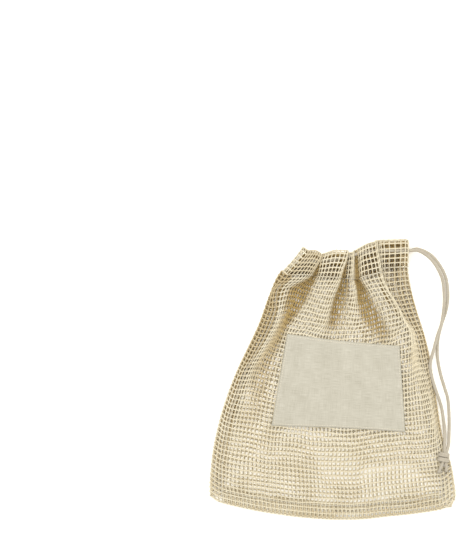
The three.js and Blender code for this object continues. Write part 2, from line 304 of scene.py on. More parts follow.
def net(name, grids, painted_shade, material, flatten, full):
    """A net piece on grids of shape (columns, rows, 3), with STEPS points for each hole.

    The argument after grids has each point's painted shade, which goes by how far within the cloth it
    lies; flatten thins the yarns, full widens them.
    """
    parts, values = [], []
    lift = YARN_LIFT * flatten
    twist = math.pi / 3 if flatten == 1.0 else 0.0
    for grid, shade_mix in zip(grids, painted_shade):
        up = surface_normals(grid)
        paths, facing = grid[::STEPS], up[::STEPS]
        uneven, knots = yarn_sizes(paths, COLUMN_SWELL, COLUMN_UNEVEN)
        parts.append(tubes(
            paths + lift * facing, facing, COLUMN_YARN[0] * full * knots * uneven,
            COLUMN_YARN[1] * flatten * knots * uneven, COLUMN_SIDES, twist,
        ))
        values.append(np.repeat(shade_mix[::STEPS].ravel(), COLUMN_SIDES))
        paths, facing = (g[:, ::STEPS].transpose(1, 0, 2) for g in (grid, up))
        uneven, knots = yarn_sizes(paths, ROW_SWELL, ROW_UNEVEN)
        parts.append(tubes(
            paths - lift * facing, facing, ROW_YARN[0] * full * knots * uneven,
            ROW_YARN[1] * flatten * uneven, ROW_SIDES,
        ))
        values.append(np.repeat(shade_mix[:, ::STEPS].T.ravel(), ROW_SIDES))
    vertices, faces, uv = joined(parts)
    piece = make_object(name, vertices, faces, material, uv, np.concatenate(values))
    return piece


# ---- Materials ---------------------------------------------------------------------------------
PAINTED_SHADE_TINT = (0.52, 0.375, 0.11, 1)   # painted shade: what is left of the light between layers of ecru yarn and down in the folds
DRIFT_SCALE, FLECK_SCALE = 55, 900   # per metre: slow drifts of tone, and fine flecks
PLIES = 2.0                          # grooves round a yarn
GROOVE_SHADE = 0.86                  # how dark the grooves between the plies are
MUSLIN_YARN = 0.62                   # mm


def calculated(tree, operation, *values):
    """The output of a math node, from numbers and other nodes' outputs."""
    node = tree.nodes.new("ShaderNodeMath")
    node.operation = operation
    for socket, value in zip(node.inputs, values):
        if isinstance(value, (int, float)):
            socket.default_value = value
        else:
            tree.links.new(value, socket)
    return node.outputs[0]


def remapped(tree, value, end, number):
    """The value mapped from 0-1 to 0-1, with one of the four ends moved to the number."""
    node = tree.nodes.new("ShaderNodeMapRange")
    fill_in(node, {end: number})
    tree.links.new(value, node.inputs["Value"])
    return node.outputs["Result"]


def noise(tree, vector, scale, detail, roughness=0.5):
    node = tree.nodes.new("ShaderNodeTexNoise")
    fill_in(node, {"Scale": scale, "Detail": detail, "Roughness": roughness})
    tree.links.new(vector, node.inputs["Vector"])
    return node.outputs["Fac"]


def two_tones(tree, value, dark_end, light_end):
    """A colour ramp over the value: each end is (position, colour)."""
    node = tree.nodes.new("ShaderNodeValToRGB")
    for element, (position, colour) in zip(node.color_ramp.elements, (dark_end, light_end)):
        element.position = position
        element.color = (*colour, 1)
    tree.links.new(value, node.inputs["Fac"])
    return node.outputs["Color"]


def multiply_node(tree, colour):
    """A node that multiplies the colour; its B and Factor are left to the caller."""
    node = tree.nodes.new("ShaderNodeMix")
    node.data_type = "RGBA"
    node.blend_type = "MULTIPLY"
    tree.links.new(colour, node.inputs["A"])
    return node


def relief(tree, shader, height, strength, distance):
    bump = tree.nodes.new("ShaderNodeBump")
    fill_in(bump, {"Strength": strength, "Distance": distance})
    tree.links.new(height, bump.inputs["Height"])
    tree.links.new(bump.outputs["Normal"], shader.inputs["Normal"])


def yarn_coordinates(tree):
    """The yarn coordinates' output, and its two parts, as make_object has them."""
    uv = tree.nodes.new("ShaderNodeUVMap")
    uv.uv_map = "yarn"
    split = tree.nodes.new("ShaderNodeSeparateXYZ")
    tree.links.new(uv.outputs["UV"], split.inputs["Vector"])
    return uv.outputs["UV"], split.outputs["X"], split.outputs["Y"]


def cotton(name, light, dark, twist_mm, bump):
    """Spun cotton: two tones in slow drifts and fine flecks, with the ply's twist as grooves."""
    material, tree, shader = node_material(name)
    _, round_yarn, along_yarn = yarn_coordinates(tree)
    twists = calculated(tree, "DIVIDE", along_yarn, twist_mm)
    turns = calculated(tree, "MULTIPLY_ADD", round_yarn, PLIES, twists)
    wave = calculated(tree, "SINE", calculated(tree, "MULTIPLY", turns, 2 * math.pi))
    ply = remapped(tree, wave, "From Min", -1.0)

    where = tree.nodes.new("ShaderNodeTexCoord").outputs["Object"]
    drift = noise(tree, where, DRIFT_SCALE, 3)
    fleck = noise(tree, where, FLECK_SCALE, 4, 0.7)
    tone = calculated(tree, "MULTIPLY_ADD", fleck, 0.55, calculated(tree, "MULTIPLY", drift, 0.45))
    shade = multiply_node(tree, two_tones(tree, tone, (0.3, dark), (0.62, light)))
    shade.inputs["Factor"].default_value = 1.0
    tree.links.new(remapped(tree, ply, "To Min", GROOVE_SHADE), shade.inputs["B"])
    # Painted shade: the point attribute written by make_object, 0 to 1, darkens the colour towards
    # the shade tint, for the shade between layers of net and down in its folds.
    shade_mix = multiply_node(tree, shade.outputs["Result"])
    shade_mix.inputs["B"].default_value = PAINTED_SHADE_TINT
    painted_shade = tree.nodes.new("ShaderNodeAttribute")
    painted_shade.attribute_name = "painted_shade"
    tree.links.new(painted_shade.outputs["Fac"], shade_mix.inputs["Factor"])
    tree.links.new(shade_mix.outputs["Result"], shader.inputs["Base Color"])

    relief(tree, shader, calculated(tree, "MULTIPLY_ADD", fleck, 0.5, ply), bump, 0.15 * MM)
    fill_in(shader, {"Roughness": 0.92, "Specular IOR Level": 0.2, "Sheen Weight": 0.25,
                     "Sheen Roughness": 0.5})
    return material


NET_COTTON = cotton("net_cotton", (0.885, 0.82, 0.64), (0.775, 0.68, 0.475), 1.5, 0.6)
SEAM_COTTON = cotton("seam_cotton", (0.84, 0.765, 0.585), (0.74, 0.64, 0.43), 1.5, 0.6)
CORD_COTTON = cotton("cord_cotton", (0.56, 0.515, 0.425), (0.45, 0.40, 0.315), 1.2, 0.5)
THREAD_COTTON = cotton("thread_cotton", (0.86, 0.82, 0.70), (0.78, 0.72, 0.58), 0.6, 0.4)


def muslin():
    """Plain-woven muslin: warp and weft as crossing waves, with slubs drawn out along both."""
    material, tree, shader = node_material("label_muslin")
    uv, across, upward = yarn_coordinates(tree)

    def stretched_noise(scale_x, scale_y, detail):
        mapping = tree.nodes.new("ShaderNodeMapping")
        mapping.inputs["Scale"].default_value = (scale_x, scale_y, 1)
        tree.links.new(uv, mapping.inputs["Vector"])
        return noise(tree, mapping.outputs["Vector"], 1.0, detail)

    def scaled(value, by):
        return calculated(tree, "MULTIPLY", value, by)

    def yarns(place):
        wave = calculated(tree, "SINE", scaled(place, 2 * math.pi / MUSLIN_YARN))
        return scaled(calculated(tree, "ABSOLUTE", wave), 0.5)

    weave = calculated(tree, "ADD", yarns(across), yarns(upward))
    slub_across = stretched_noise(0.09, 2.2, 2)
    slub_along = stretched_noise(1.7, 0.07, 2)
    cloud = stretched_noise(0.05, 0.05, 3)
    tone = scaled(slub_across, 0.42)
    for part, share in ((slub_along, 0.26), (cloud, 0.2), (weave, 0.12)):
        tone = calculated(tree, "ADD", tone, scaled(part, share))
    colour = two_tones(tree, tone, (0.34, (0.40, 0.38, 0.305)), (0.66, (0.625, 0.605, 0.52)))
    tree.links.new(colour, shader.inputs["Base Color"])
    relief(tree, shader, calculated(tree, "ADD", weave, scaled(slub_across, 1.2)), 0.5, 0.12 * MM)
    fill_in(shader, {"Roughness": 0.9, "Specular IOR Level": 0.2, "Sheen Weight": 0.2})
    return material


MUSLIN = muslin()

# ---- Outline of the bag, from the CAD ----------------------------------------------------------


def wall(node, direction, order):
    """Plan points of a CAD node's upright wall that faces a direction, sorted along one axis."""
    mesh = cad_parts[node].data
    facing = Vector(direction)
    found = {v for p in mesh.polygons if p.normal.dot(facing) > 0.6 for v in p.vertices}
    points = {(round(mesh.vertices[v].co.x, 6), round(mesh.vertices[v].co.y, 6)) for v in found}
    points = np.array(sorted(points, key=lambda p: p[order]))
    apart = np.concatenate([[True], np.diff(points[:, order]) > 1e-5])
    return points[apart]


LEFT = wall("back_net_panel", (-1, 0, 0), 1)
RIGHT = wall("back_net_panel", (1, 0, 0), 1)
BOTTOM = wall("back_net_panel", (0, -1, 0), 0)
CORNER_Y = (-112 * MM, -130 * MM)      # where the right side turns in at the lower corner
CORNER_TURN_IN = 4 * MM
RIGHT_BOTTOM_RISE = 2.2 * MM           # the bottom edge rises to the right in the photo
LEFT_CORNER_RISE, RIGHT_CORNER_RISE = 4, 7     # mm, more of a rise at the two rounded corners


def left_x(y):
    """The silhouette's left side at a height along the bag."""
    return pchip(np.clip(y, LEFT[0, 1], LEFT[-1, 1]), LEFT[:, 1], LEFT[:, 0])


def right_x(y):
    edge = pchip(np.clip(y, RIGHT[0, 1], RIGHT[-1, 1]), RIGHT[:, 1], RIGHT[:, 0])
    return edge - CORNER_TURN_IN * ramp(np.asarray(y), *CORNER_Y) ** 2


def bottom_y(x):
    edge = pchip(np.clip(x, BOTTOM[0, 0], BOTTOM[-1, 0]), BOTTOM[:, 0], BOTTOM[:, 1])
    corners = (LEFT_CORNER_RISE * ramp(-x, 108 * MM, 124 * MM) ** 2
               + RIGHT_CORNER_RISE * ramp(x, 104 * MM, 122 * MM) ** 2)
    return edge + RIGHT_BOTTOM_RISE * ramp(x, 15 * MM, 60 * MM) + MM * corners


# ---- Folds of the front panel ------------------------------------------------------------------
# At each height along the bag, in millimetres, the lines of its folds from left to right: the
# side's roll and its foot, the wide valley, the first ridge's two shoulders, a valley, a small
# ridge, the deep valley, the second ridge's two shoulders, the band along the right side and its
# outer roll. Each is (column of the net, place across the bag, height).
FOLDS = {
    112: [(2, -41, 15.5), (8.5, -19, 17.5), (12, -16.5, 9), (15, -9.5, 17), (21.3, 12, 18.5),
          (26, 9.5, 9), (30, 18.5, 14.5), (36.5, 20.5, 7), (40, 26, 17.5), (46, 45.5, 18.5),
          (51.5, 43.5, 11.5), (56.2, 48.5, 13.5), (61, 70, 14)],
    103: [(2, -45.5, 14), (8.5, -24, 12.5), (12, -19, 7), (15, -13, 15.5), (21.3, 6.5, 18),
          (26, 9.5, 7.5), (29.5, 17, 12.5), (36.5, 22.5, 4.8), (40, 27.5, 16), (46, 47.5, 18),
          (51.5, 45, 10), (56.6, 50.5, 12.5), (61, 71, 11)],
    88: [(1.8, -58.5, 8.5), (3.8, -51, 7.2), (11.5, -30, 4.2), (15, -20, 13.5), (21.5, -0.5, 16.5),
         (26, 6, 5), (29.4, 17, 13.4), (36.5, 28, 3.8), (40, 35.5, 13.5), (46, 54.5, 17),
         (52, 50, 8.5), (57.4, 56.5, 11), (61.2, 73.5, 8.5)],
    68: [(1.6, -62.5, 7), (3.8, -54.5, 5.8), (11.5, -39, 4), (15, -28.5, 12), (22, -6.5, 14.5),
         (26.5, 1.5, 4.8), (30.2, 16.5, 12.4), (37.5, 36.5, 3.8), (41, 48.5, 12.2), (47, 66.5, 14.5),
         (53, 63, 8), (58.4, 68, 9.5), (61.2, 79.4, 7)],
    56: [(1.5, -67.5, 6.5), (3.8, -58.5, 5.5), (11.5, -45.5, 4.2), (15, -35, 11), (22.5, -9.5, 12.8),
         (27, 0, 5.8), (31, 16.5, 10.6), (39, 43, 4.6), (42.5, 55, 10.8), (48, 72, 13),
         (53.5, 71.5, 8.4), (58.8, 75, 8.5), (61.2, 83.6, 6)],
    43: [(1.5, -73, 6.3), (3.8, -64.5, 5.2), (11.5, -52, 4.5), (14.8, -43.5, 10.4), (22.5, -18, 11.6),
         (27.5, -2, 9.6), (31.5, 13.5, 9.8), (41, 49.5, 6.2), (44.5, 60.5, 10), (50, 77.5, 11.4),
         (54.8, 79.5, 9.5), (59, 81.8, 8), (61.2, 88.6, 5.5)],
    0: [(1.5, -94, 6), (3.8, -86.5, 5), (10, -72.5, 4.6), (14.5, -53.5, 9.5), (22.5, -26, 11),
        (28, -6, 11), (32, 8, 11), (41, 42, 10.8), (45, 57, 10.8), (51, 78, 10.4),
        (54.5, 84.5, 9.2), (58, 90, 7.5), (61.2, 96.5, 5)],
    -50: [(1.5, -109, 5.5), (3.8, -101, 5), (10, -78, 5.8), (14.5, -60.5, 8.5),
          (22.5, -30, 10), (28, -8.5, 10), (32, 6.5, 10), (41, 42, 10), (45, 58, 10),
          (51, 82, 10.2), (54, 90.5, 9.6), (57, 98, 8), (61.2, 105, 5)],
    -100: [(1.5, -116, 5), (3.8, -107.2, 5.2), (10, -83, 6.2), (14.5, -65.5, 7),
           (22.5, -34.5, 7.4), (28, -13, 7.2), (32, 2.5, 7), (41, 37.5, 7.4), (45, 53, 7.2),
           (51, 76, 6.8), (54, 87.8, 6.4), (57, 99.5, 6), (61.2, 115.5, 4.6)],
    -140: [(1.5, -114.6, 4), (3.8, -105.5, 4), (10, -81, 4), (14.5, -63.3, 4), (22.5, -31.8, 4),
           (28, -10, 4), (32, 5.8, 4), (41, 41.2, 4), (45, 57, 4), (51, 80.7, 4), (54, 92.4, 4),
           (57, 104, 4), (61.2, 118.5, 4)],
}
EDGE_HEIGHT = 3.4          # mm, the front layer over the seam allowances
MOUTH_EDGE_HEIGHT = 9.0    # mm, the sides' height where they reach the casing
FOLDS_Y = (-140, 112)      # mm, from the bottom seam's lowest point to the highest stitching

# The casing, in millimetres: for each fold line's column there, where the stitching crosses it
# along the bag, and where the hem lies (across, along, height).
CASING = {
    0: (107.5, None), 2: (103.6, (-25.5, 127.6, 17.4)), 5: (103.9, (-19, 127.6, 18.6)),
    8.5: (103.6, (-13, 124.6, 18.2)), 12: (102.5, (-13.8, 123, 12.5)), 15: (102, (-8, 125.2, 17.6)),
    18: (101.6, (2.5, 127.9, 19.4)), 21.3: (101, (13, 126.6, 19)), 26: (100, (12.5, 125.4, 13.5)),
    30: (99.5, (19, 126.6, 17.4)), 36.5: (99, (21.5, 126.6, 12)), 40: (101.5, (26.5, 131, 18)),
    43: (104.4, (34.5, 135.2, 19.6)), 46: (107, (43, 137, 19.4)), 51.5: (109, (42, 137, 14)),
    56.2: (110.5, (46.5, 138.2, 17.2)), 61: (111.6, (70.5, 139, 18)), 62: (111.7, (73.4, 138, 17)),
}

FINE = 260                 # samples of height along the bag for the fold surface
fine_y = np.linspace(*FOLDS_Y, FINE) * MM
fine_c = np.arange(COLUMNS * STEPS + 1) / STEPS


def fold_table():
    """x and height for every (fine_y, fine_c)."""
    heights = sorted(FOLDS)
    at = np.array(heights, float) * MM
    table = np.array([FOLDS[h] for h in heights], float)
    c, x, z = (pchip(fine_y, at, table[..., k].T).T for k in range(3))
    edge = EDGE_HEIGHT + (MOUTH_EDGE_HEIGHT - EDGE_HEIGHT) * ramp(fine_y, 78 * MM, 108 * MM)
    c = np.column_stack([0 * edge, c, 0 * edge + COLUMNS])
    x = np.column_stack([left_x(fine_y), x * MM, right_x(fine_y)])
    z = np.column_stack([edge, z, edge]) * MM
    out_x = np.array([pchip(fine_c, c[k], x[k]) for k in range(FINE)])
    out_z = np.array([pchip(fine_c, c[k], z[k]) for k in range(FINE)])
    return out_x, out_z


table_x, table_z = fold_table()
casing_columns = np.array(list(CASING), float)
stitching_y = pchip(fine_c, casing_columns, np.array([CASING[c][0] for c in CASING]) * MM)


def front_grid():
    """The front panel: for each column a path from the bottom seam to the casing, in even steps."""
    rows = PANEL_ROWS * STEPS + 1
    grid = np.empty((len(fine_c), rows, 3))
    for k in range(len(fine_c)):
        foot = bottom_y(np.interp(bottom_y(table_x[0, k]), fine_y, table_x[:, k]))
        y = np.linspace(foot, stitching_y[k], 200)
        x = np.interp(y, fine_y, table_x[:, k])
        z = np.interp(y, fine_y, table_z[:, k])
        low = ramp(y - foot, 2 * MM, 24 * MM)
        z = EDGE_HEIGHT * MM + (z - EDGE_HEIGHT * MM) * low
        path = np.stack([x, y, z], 1)
        along = distances(path)
        grid[k] = resampled(path, along, np.linspace(0, along[-1], rows))
    return grid


RUFFLES = ((1.6, 0.5), (1.8, 0.55), (1.0, 0.3))   # mm, slow and fine waves on each axis


def ruffle(grid, amount=1.0):
    """Hand-made unevenness: slow waves in height and yarns a little out of line, not at the rim."""
    shape = grid.shape[:2]
    across = np.arange(shape[0])[:, None]
    along = np.arange(shape[1])[None, :]
    rim = np.minimum(across, shape[0] - 1 - across) / (4 * STEPS)
    rim = np.clip(rim, 0, 1) * np.clip(np.minimum(along, shape[1] - 1 - along) / (3 * STEPS), 0, 1)
    grid = grid.copy()
    for axis, (slow, fine) in enumerate(RUFFLES):
        waves = (smooth_noise(shape, 8 * STEPS, slow * MM)
                 + smooth_noise(shape, 2.2 * STEPS, fine * MM))
        grid[..., axis] += amount * rim * waves
    return grid


def along_path(points, count):
    """Points evenly spaced along each of several polylines (n, m, 3)."""
    out = np.empty((len(points), count, 3))
    for k, line in enumerate(points):
        along = distances(line)
        out[k] = resampled(line, along, np.linspace(0, along[-1], count))
    return out


front_plain = front_grid()
front = ruffle(front_plain)

# ---- Back panel: flat on the floor, rising only where its sides reach the casing ---------------
BACK_HEIGHT = 0.75 * MM
BACK_WAVE, BACK_WAVES = 0.5 * MM, 5.5      # the back's low waves towards the mouth, and how many
ALIGNED_AT = (8 * MM, -86 * MM)            # the middle and the half size of a patch of the two nets
ALIGNED_HALF = (25 * MM, 19 * MM)


def back_x(c, y):
    return left_x(y) + (right_x(y) - left_x(y)) * c / COLUMNS


def back_z(c, y):
    """The back's height: its sides rise to the casing's, and it waves a little towards the mouth."""
    from_side = np.minimum(c, COLUMNS - c)
    rise = (MOUTH_EDGE_HEIGHT - EDGE_HEIGHT) * MM * ramp(y, 78 * MM, 112 * MM)
    waves = BACK_WAVE * (1 - np.cos(2 * math.pi * BACK_WAVES * c / COLUMNS))
    waves = waves * ramp(y, -60 * MM, 100 * MM) * np.clip(from_side / 3, 0, 1)
    return BACK_HEIGHT + rise * np.exp(-((from_side / 1.6) ** 2)) + waves


def back_grid():
    """The back panel: straight columns, in even steps from the bottom seam to the casing."""
    rows = PANEL_ROWS * STEPS + 1
    c = fine_c[:, None]
    foot = bottom_y(back_x(fine_c, -125 * MM))[:, None]
    y = foot + (stitching_y[:, None] - foot) * np.linspace(0, 1, rows)[None, :]
    return np.stack([back_x(c, y), y, back_z(c, y)], -1)


back = ruffle(back_grid(), 0.7)
# Away from its rim the back net lies about half a hole off the front net, both ways.
from_side = np.minimum(fine_c, COLUMNS - fine_c)[:, None]
from_bottom = np.arange(back.shape[1])
shifted = ramp(from_side * ramp(from_bottom, 0, 9)[None, :], 3, 12)
back[..., 0] += 0.5 * COLUMN_PITCH * shifted
back[..., 1] += 0.45 * ROW_PITCH * shifted * (1 - ramp(from_bottom, 140, 156))
# Below the label one patch of the two nets lies hole on hole, so the light comes through there.
aligned = np.exp(-sum(((back[..., k] - ALIGNED_AT[k]) / ALIGNED_HALF[k]) ** 4 for k in (0, 1)))
back[..., :2] += aligned[..., None] * (front[..., :2] - back[..., :2])
back[..., 2] = np.maximum(back[..., 2], BACK_HEIGHT)

# ---- Casings -----------------------------------------------------------------------------------
FOLD_EDGE = 2              # the column where the casings meet the fold round the left side
LOOP = CASING_ROWS * STEPS + 1
band_c = fine_c[FOLD_EDGE * STEPS:]
CASING_THICKNESS = 4.4 * MM
CASING_BULGE = 1.6 * MM    # how far the cord inside pushes the front casing's outer layer up
LOWEST_FRONT = 7.6 * MM    # the front casing over the back casing, down in its tucks
BACK_CASING_TOP = 6.0 * MM
TUNNEL_FRONT_Z = 15.4 * MM     # the cord's two runs in the tunnel, and at the casing's right end
TUNNEL_BACK_Z = 2.8 * MM


def loop_paths(low, high, thickness, bulge):
    """Round the hem: up the outer layer, over the top and back down the inner one.

    low is the stitching's line and high the hem's; a thickness below 0 puts the inner layer above.
    """
    radius = thickness / 2
    back_from_hem = np.array([0, 1, 0]) * abs(radius)[:, None]
    points = []
    for v in np.linspace(0, 1, 7):
        p = low + (high - low) * v - back_from_hem * v
        p[:, 2] += np.sign(thickness) * bulge * math.sin(math.pi * v)
        points.append(p)
    for a in np.linspace(0, math.pi, 7)[1:-1]:
        p = high.copy()
        p[:, 1] += abs(radius) * (math.sin(a) - 1)
        p[:, 2] -= radius * (1 - math.cos(a))
        points.append(p)
    for v in np.linspace(1, 0, 7):
        p = low + (high - low) * v - back_from_hem * v
        p[:, 2] -= 2 * radius
        points.append(p)
    return along_path(np.stack(points, 1), LOOP)


hem = np.array([CASING[c][1] for c in CASING if CASING[c][1]]) * MM
hem_line = np.stack([pchip(band_c, casing_columns[1:], hem[:, k]) for k in range(3)], 1)
front_low = front[FOLD_EDGE * STEPS:, -1].copy()
lift = ramp(band_c, COLUMNS - 3, COLUMNS)
front_low[:, 2] += lift * (16.5 * MM - front_low[:, 2])      # the right end, over the cord's exit
front_low[:, 2] = np.maximum(front_low[:, 2], LOWEST_FRONT)
front_thickness = np.clip(front_low[:, 2] - BACK_CASING_TOP, 1.6 * MM, CASING_THICKNESS)
front_band = ruffle(loop_paths(front_low, hem_line, front_thickness, CASING_BULGE), 0.6)

# The back casing is flat on the floor, under the same two lines seen from above.
share = (band_c - FOLD_EDGE) / (COLUMNS - FOLD_EDGE)


def flattened(line, right_end_x):
    """The line laid on the floor with its columns evenly spread, up to the right end given."""
    x = line[0, 0] + (right_end_x - line[0, 0]) * share
    y = np.interp(x, np.maximum.accumulate(line[:, 0]), line[:, 1])
    return np.column_stack([x, y, np.full(len(x), BACK_HEIGHT)])


back_low = flattened(front_low, back[-1, -1, 0])
back_high = flattened(hem_line, hem_line[-1, 0])
back_high[:, 1] -= 1.2 * MM * ramp(band_c, FOLD_EDGE, FOLD_EDGE + 4)
back_band = loop_paths(back_low, back_high, np.full(len(band_c), -CASING_THICKNESS), 0.0)
waves = BACK_WAVE * (1 - np.cos(2 * math.pi * 6 * band_c / COLUMNS))[:, None]
back_band[..., 2] += waves * (back_band[..., 2] > 2 * MM)

# The casing goes on round the left side, as half a turn from the front casing to the back one.
end_line = hem_line[0] - front_low[0]
outward = unit(np.array([-end_line[1], end_line[0], 0.0]))
turn_radius = (TUNNEL_FRONT_Z - TUNNEL_BACK_Z) / 2
turn_z = (TUNNEL_FRONT_Z + TUNNEL_BACK_Z) / 2
turn_steps = 7 * STEPS + 1
start, finish = front_band[0], back_band[0]
height_share = np.clip((start - start[0]) @ (end_line / (end_line @ end_line)), 0, 1)
bulge = 0.88 - 0.16 * np.sin(math.pi * height_share)
fold_band = np.empty((turn_steps, LOOP, 3))
rise, fall = start[:, 2] - turn_z, turn_z - finish[:, 2]
for k, angle in enumerate(np.linspace(0, math.pi, turn_steps)):
    reach = rise + (fall - rise) * k / (turn_steps - 1)
    fold_band[k] = start + outward * (reach * bulge * math.sin(angle))[:, None]
    fold_band[k, :, :2] += (finish[:, :2] - start[:, :2]) * k / (turn_steps - 1)
    fold_band[k, :, 2] = turn_z + reach * math.cos(angle)

# ---- Seam allowances: two plies of net between the panels ----------------------------------------
SEAM_COLUMNS = 3
side_steps = SEAM_COLUMNS * STEPS + 1
PLY_SHARES = (0.38, 0.67)      # the plies' heights, as shares of the room between the panels
SEAM_ROOM = 4 * MM             # the most of that room that a seam takes up
PLY_SHIFT = (0.4, 0.45)        # how far a ply's mesh lies off the panels', in pitches


def seam_plies(columns, rows, inset):
    """Two plies under the given part of the front panel; inset moves it in from the silhouette."""
    top = front_plain[columns, rows]
    plies = []
    for share in PLY_SHARES:
        ply = top.copy()
        ply[..., :2] = inset(ply[..., :2])
        x, y = ply[..., 0], ply[..., 1]
        below = back_z(0 * y + 1.0, y)
        ply[..., 2] = below + share * (np.minimum(top[..., 2], below + SEAM_ROOM) - below)
        x -= np.sign(x) * PLY_SHIFT[0] * share * COLUMN_PITCH
        y += PLY_SHIFT[1] * share * ROW_PITCH * (1 - ramp(y, 80 * MM, 100 * MM))
        plies.append(ply)
    return plies


def side_inset(sign, edge):
    """Lays columns out inwards from a side's edge: sign 1 for the left side, -1 for the right."""
    step = np.arange(side_steps)[:, None] * COLUMN_PITCH / STEPS * 0.96

    def move(plan):
        plan = plan.copy()
        plan[..., 1] = plan[:1, :, 1]
        plan[..., 0] = edge(plan[..., 1]) + sign * (step if sign > 0 else step[::-1])
        return plan
    return move


left_plies = seam_plies(slice(0, side_steps), slice(None), side_inset(1, left_x))
right_plies = seam_plies(slice(-side_steps, None), slice(None), side_inset(-1, right_x))
bottom_plies = seam_plies(slice(side_steps, -side_steps), slice(0, side_steps), lambda plan: plan)

# The seam between the casings' right ends, folded like a U between the two holes for the cord.
seam_lo, seam_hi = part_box("right_mouth_seam")
seam_steps = 5 * STEPS + 1
seam_path = np.array([
    (seam_lo.x, 0, 6.2 * MM), (seam_hi.x - 1.0 * MM, 0, 6.4 * MM),
    (seam_hi.x - 0.2 * MM, 0, 9.1 * MM), (seam_hi.x - 1.0 * MM, 0, 11.8 * MM),
    (seam_lo.x, 0, 12.0 * MM),
])
mouth_seam_grid = np.repeat(catmull(seam_path, 4 * STEPS + 1)[:, None, :], seam_steps, 1)
mouth_seam_grid[..., 1] = np.linspace(seam_lo.y, seam_hi.y, seam_steps)[None, :]

# ---- The net pieces ----------------------------------------------------------------------------
sheets = []


def net_piece(name, grids, painted_shade, node, flatten=1.0, full=1.0, material=NET_COTTON):
    piece = net(name, grids, painted_shade, material, flatten, full)
    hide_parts(node)
    columns = sum(g.shape[0] - 1 for g in grids) / STEPS
    rows = (grids[0].shape[1] - 1) / STEPS
    sheets.append((piece, columns * COLUMN_PITCH, rows * ROW_PITCH))
    return piece


def seam_piece(name, plies, tones, node):
    net_piece(name, plies, tones, node, flatten=SEAM_FLATTEN, material=SEAM_COTTON)


# Painted shade: how far within the cloth each point lies, from 0 to 1, darkens its colour towards the
# painted shade tint among the materials.


def all_over(grids, tone):
    return [np.full(grid.shape[:2], tone) for grid in grids]


def round_the_hem(band, outer_shade, dark):
    """A casing's painted shade: its outer layer as given, its inner layer dark."""
    at = np.linspace(0, 1, LOOP)[None, :]
    return np.broadcast_to(outer_shade + (dark - outer_shade) * ramp(at, 0.5, 0.62), band.shape[:2])


def upper(grid, low=-30, high=55):
    """0 in the lower bag, 1 near the mouth."""
    return ramp(grid[..., 1], low * MM, high * MM)


# Painted shade for the nets: down in the front panel's folds, on its side strips near the mouth, on
# the front casing's outer layer in its tucks and on its left lobe, and on the back net a little all
# over and more under the front's folds.
side_strips = 1 - ramp(np.minimum(fine_c, COLUMNS - fine_c)[:, None], 3, 4)
strip_shade = np.where(fine_c < COLUMNS / 2, 0.55, 0.25)[:, None]
front_shade = np.maximum(0.88 * fold_shade(front_plain), strip_shade * side_strips * upper(front))
left_lobe_shade = 0.28 * (1 - ramp(band_c, 9, 14))[:, None]
front_casing_shade = np.maximum(0.85 * fold_shade(front_band, 4, 1.6, 7.0), left_lobe_shade)
front_net = net_piece("front_net", [front], [front_shade], "front_net_panel")
net_piece("back_net", [back], [0.1 + 0.45 * fold_shade(front_plain)], "back_net_panel", full=1.12)
# Painted shade on the casings: each outer layer as given, each inner layer dark.
for name, band, outer_shade, dark, node in (
    ("front_casing_net", front_band, front_casing_shade, 0.92, "front_casing"),
    ("back_casing_net", back_band, 0.0, 1.0, "back_casing"),
    ("casing_fold_net", fold_band, 0.0, 1.0, "casing_left_fold"),
):
    net_piece(name, [band], [round_the_hem(band, outer_shade, dark)], node)
# Painted shade on the seam plies between the panels: more towards the mouth on the sides, a little
# along the bottom, half on the mouth seam.
seam_piece("left_seam_net", left_plies, [0.1 + 0.65 * upper(g, -110, 10) for g in left_plies],
           "left_seam_allowance")
seam_piece("right_seam_net", right_plies, [0.05 + 0.45 * upper(g, -20, 60) for g in right_plies],
           "right_seam_allowance")
seam_piece("bottom_seam_net", bottom_plies, all_over(bottom_plies, 0.12), "bottom_seam_allowance")
seam_piece("right_mouth_seam_net", [mouth_seam_grid], all_over([mouth_seam_grid], 0.5),
           "right_mouth_seam")

# ---- Label -------------------------------------------------------------------------------------
LABEL = {"bl": (-61.6, -46.4), "br": (71.2, -52.4), "tl": (-46.0, 45.2), "tr": (65.6, 33.2)}   # mm
LABEL_STEPS = (88, 60)
LABEL_FLAT = (132 * MM, 90 * MM)
LABEL_BOW = 1.2 * MM          # its long edges are a little curved
LABEL_LIFT = 1.35 * MM        # its upper face over the net's highest yarns
LABEL_THICKNESS = 0.45 * MM
LABEL_HEM = 2.0 * MM          # its stitches' line, in from the edges


def front_height(x, y, cell=2.0 * MM, origin=(-0.13, -0.15), size=(150, 150)):
    """Height of the front net under plan points: the highest yarn of each small square."""
    column, row = (((front[..., k] - origin[k]) / cell).astype(int).ravel() for k in (0, 1))
    top = np.full(size, -1.0)
    np.maximum.at(top, (column, row), front[..., 2].ravel())
    for _ in range(4):       # squares without yarn take the highest of their neighbours
        padded = np.pad(top, 1, mode="edge")
        near = np.max([padded[i:i + size[0], j:j + size[1]] for i in range(3) for j in range(3)], 0)
        top = np.where(top < 0, near, top)
    return top[((x - origin[0]) / cell).astype(int), ((y - origin[1]) / cell).astype(int)]


def label_plan(u, v):
    """Plan points of the label, from 0 to 1 across and up it."""
    bl, br, tl, tr = (np.array(LABEL[k]) * MM for k in ("bl", "br", "tl", "tr"))
    u, v = u[..., None], v[..., None]
    bow = LABEL_BOW * np.sin(math.pi * u) * (2 * v - 1) * np.array([0, -1])
    return (bl * (1 - u) + br * u) * (1 - v) + (tl * (1 - u) + tr * u) * v + bow


def blurred(field, passes):
    for _ in range(passes):
        padded = np.pad(field, 1, mode="edge")
        field = (padded[:-2, 1:-1] + padded[2:, 1:-1] + padded[1:-1, :-2] + padded[1:-1, 2:]
                 + 4 * padded[1:-1, 1:-1]) / 8
    return field


